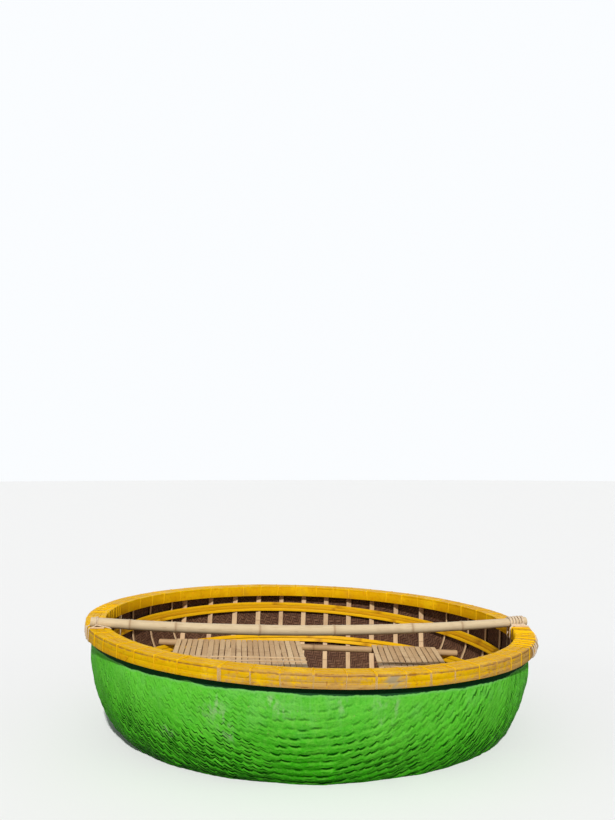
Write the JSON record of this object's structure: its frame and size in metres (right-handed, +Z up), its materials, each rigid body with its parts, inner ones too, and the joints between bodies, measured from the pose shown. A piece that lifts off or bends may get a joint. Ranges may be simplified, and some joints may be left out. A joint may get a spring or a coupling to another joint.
{
  "type": "round basket boat",
  "caption": "Round coracle of coated woven bamboo, with a lashed lath rim, crossed ribs, hoops, a slatted bench and a cross pole, for carrying people over calm water",
  "frame": {"origin": "middle of the laden waterline", "axes": "+Z up, +Y away from the side where the cross pole lies, +X to the right seen from that side"},
  "size_m": [1.9998, 1.9998, 0.6722],
  "materials": {
    "green_hull": "woven bamboo under a green paint coat, satin",
    "yellow_bamboo": "split bamboo, yellow paint, worn",
    "plain_bamboo": "bare split bamboo, dry",
    "pole_bamboo": "bare whole bamboo, weathered satin",
    "cord": "twisted line, matt"
  },
  "bodies": {
    "root": {"woven_hull": "green_hull", "ribs_across": "plain_bamboo", "ribs_lengthways": "plain_bamboo", "hoop_upper": "yellow_bamboo", "hoop_lower": "yellow_bamboo", "bench_bearer_near": "plain_bamboo", "bench_bearer_far": "plain_bamboo", "bench_slats_left": "plain_bamboo", "bench_slats_right": "plain_bamboo", "bench_battens_left": "plain_bamboo", "bench_battens_right": "plain_bamboo", "cross_pole": "pole_bamboo", "hoop_tie_left": "cord", "hoop_tie_right": "cord", "rim_outer_core": "yellow_bamboo", "rim_outer_upper": "yellow_bamboo", "rim_outer_lower": "yellow_bamboo", "rim_inner_core": "yellow_bamboo", "rim_inner_middle": "yellow_bamboo", "rim_inner_face": "yellow_bamboo", "rim_cap_inner": "yellow_bamboo", "rim_cap_middle": "yellow_bamboo", "rim_cap_outer": "yellow_bamboo"}
  },
  "joints": []
}
